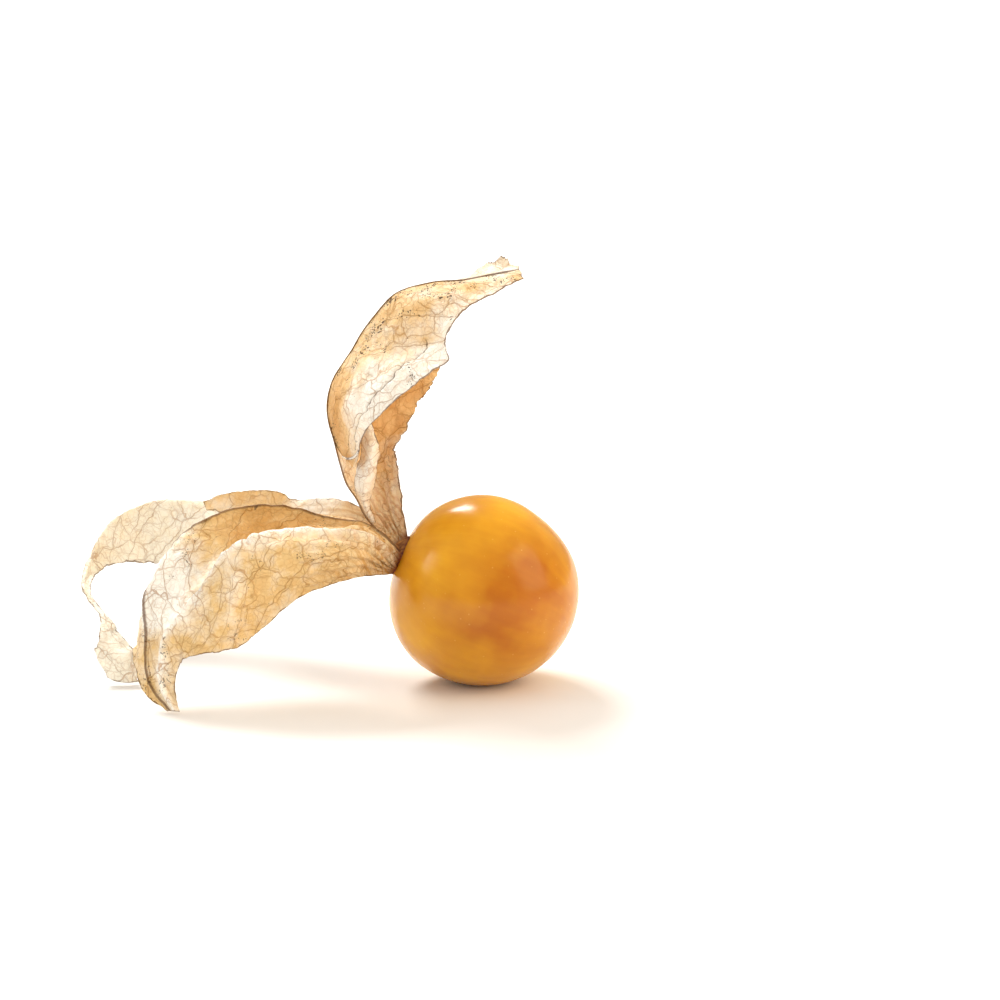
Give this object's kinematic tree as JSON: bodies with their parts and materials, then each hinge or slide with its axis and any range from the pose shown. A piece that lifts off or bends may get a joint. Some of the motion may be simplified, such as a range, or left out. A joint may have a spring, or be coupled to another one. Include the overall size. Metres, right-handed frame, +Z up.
{
  "type": "cape gooseberry",
  "caption": "Ripe Cape gooseberry resting on a surface, with its dry papery husk torn open and peeled back from the round orange berry.",
  "frame": {"origin": "middle of the small flat on the underside of the berry, where it rests", "axes": "+X along the fruit's length, from the husk lobes towards the berry; +Z up; -Y to the side on which the front husk lobe hangs"},
  "size_m": [0.0514, 0.0334, 0.0429],
  "materials": {
    "berry_skin": "glossy waxy fruit skin",
    "husk_paper": "dry, thin, papery and slightly see-through, with raised veins",
    "dried_stalk": "dry and matt"
  },
  "bodies": {
    "root": {"berry": "berry_skin", "stalk": "dried_stalk", "husk_lobe_upright": "husk_paper", "husk_lobe_front": "husk_paper", "husk_lobe_rear": "husk_paper", "husk_lobe_torn": "husk_paper"}
  },
  "joints": []
}
